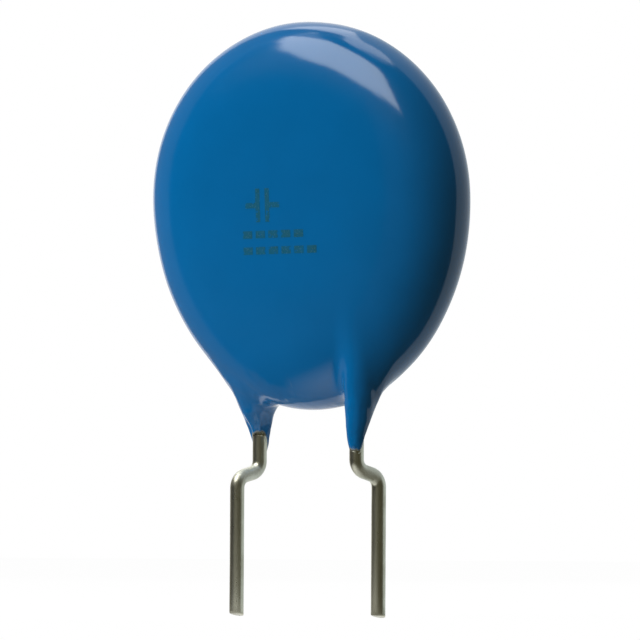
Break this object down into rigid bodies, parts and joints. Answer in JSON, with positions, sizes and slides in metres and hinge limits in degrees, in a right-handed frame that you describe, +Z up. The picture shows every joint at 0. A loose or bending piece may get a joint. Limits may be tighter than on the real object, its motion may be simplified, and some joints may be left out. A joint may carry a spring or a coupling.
{
  "type": "ceramic disc capacitor",
  "caption": "Round, soft-edged blue epoxy-dipped ceramic disc on edge, with two tinned wire leads that leave its lower rim, crimp in line and end as straight pins.",
  "frame": {"origin": "midway between the two pins, in the seating plane where the crimps rest on a circuit board", "axes": "+X from the rear lead's pin to the front lead's pin, -Y out of the front face, +Z up from the pins to the disc"},
  "size_m": [0.0212, 0.0065, 0.0331],
  "materials": {
    "epoxy": "semi-gloss dipped blue epoxy",
    "ceramic": "matt fired tan ceramic",
    "fired_silver": "matt fired silver film",
    "tinned_wire": "hot-dipped tin, softly mottled along the wire",
    "solder": "satin solder"
  },
  "bodies": {
    "root": {"epoxy_coating": "epoxy", "ceramic_disc": "ceramic", "front_electrode": "fired_silver", "rear_electrode": "fired_silver", "front_lead": "tinned_wire", "rear_lead": "tinned_wire", "front_solder_joint": "solder", "rear_solder_joint": "solder"}
  },
  "joints": []
}
